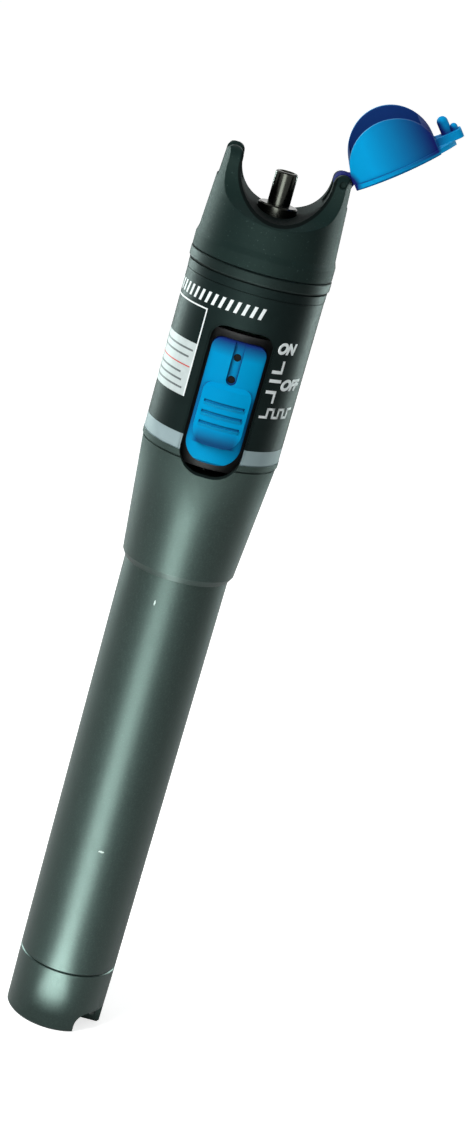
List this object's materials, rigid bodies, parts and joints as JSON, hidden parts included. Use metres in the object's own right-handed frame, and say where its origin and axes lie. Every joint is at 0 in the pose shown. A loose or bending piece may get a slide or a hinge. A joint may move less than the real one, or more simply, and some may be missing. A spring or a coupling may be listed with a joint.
{
  "type": "visual fault locator",
  "caption": "Pen-shaped fibre tester with a red laser port in a forked head, a hinged blue dust cap, a blue slide switch and a screw-off tail cap.",
  "frame": {"origin": "centre of the flat tail end that the pen stands on", "axes": "+Z along the pen from tail to head, -Y towards the slide switch, +X towards the hinge of the dust cap"},
  "size_m": [0.0413, 0.0267, 0.1869],
  "materials": {
    "black_anodised": "black anodised, satin",
    "dark_ring": "dark anodised, polished",
    "head_plastic": "satin black",
    "label_film": "printed film, satin",
    "blue_plastic": "satin moulded blue",
    "black_plastic": "moulded",
    "seal_rubber": "soft black",
    "plated_brass": "nickel plated",
    "spring_steel": "bright",
    "switch_steel": "tinned can",
    "board": "green solder mask",
    "trimmer_blue": "moulded",
    "port_metal": "dark polished",
    "zirconia": "white ceramic, ground",
    "plain_brass": "turned",
    "lens_glass": "polished",
    "cell_sleeve": "plain printed sleeve, no marks"
  },
  "bodies": {
    "case": {"battery_tube": "black_anodised", "barrel": "black_anodised", "trim_ring": "dark_ring", "head_shell": "head_plastic", "label_wrap": "label_film", "chassis": "black_plastic", "front_contact": "plated_brass", "slide_switch_body": "switch_steel", "driver_board": "board", "board_screws": "spring_steel", "board_chip": "black_plastic", "board_capacitor": "spring_steel", "power_trimmer": "trimmer_blue", "ground_strip": "plated_brass", "ferrule_flange": "port_metal", "split_sleeve": "zirconia", "laser_housing": "plain_brass", "focus_lens": "lens_glass", "lens_retainer": "plain_brass", "laser_diode": "plated_brass", "cap_hinge_pin": "spring_steel", "battery_cell_rear": "cell_sleeve", "battery_cell_front": "cell_sleeve"},
    "slider": {"slider_button": "blue_plastic", "slider_pins": "black_plastic", "slider_carrier": "black_plastic", "slide_switch_actuator": "black_plastic"},
    "cap": {"dust_cap": "blue_plastic"},
    "seal": {"tail_seal": "seal_rubber"},
    "tail": {"tail_cap": "black_anodised", "battery_spring": "spring_steel", "spring_plate": "plated_brass"}
  },
  "joints": [
    {"name": "switch_slide", "type": "slide", "parent": "case", "child": "slider", "axis": [0, 0, 1], "range_m": [-0.002, 0.002]},
    {"name": "cap_hinge", "type": "hinge", "parent": "case", "child": "cap", "pos_m": [0.00995, 0, 0.171], "axis": [0, 1, 0], "range_deg": [-141, 0]},
    {"name": "tail_cap_travel", "type": "slide", "parent": "case", "child": "seal", "axis": [0, 0, -1], "range_m": [0, 0.005]},
    {"name": "tail_cap_turn", "type": "hinge", "parent": "seal", "child": "tail", "pos_m": [0, 0, 0], "axis": [0, 0, -1], "range_deg": [0, 1800]}
  ],
  "couplings": [
    {"joint": "tail_cap_travel", "follows": "tail_cap_turn", "m_per_rad": 0.00015915}
  ]
}
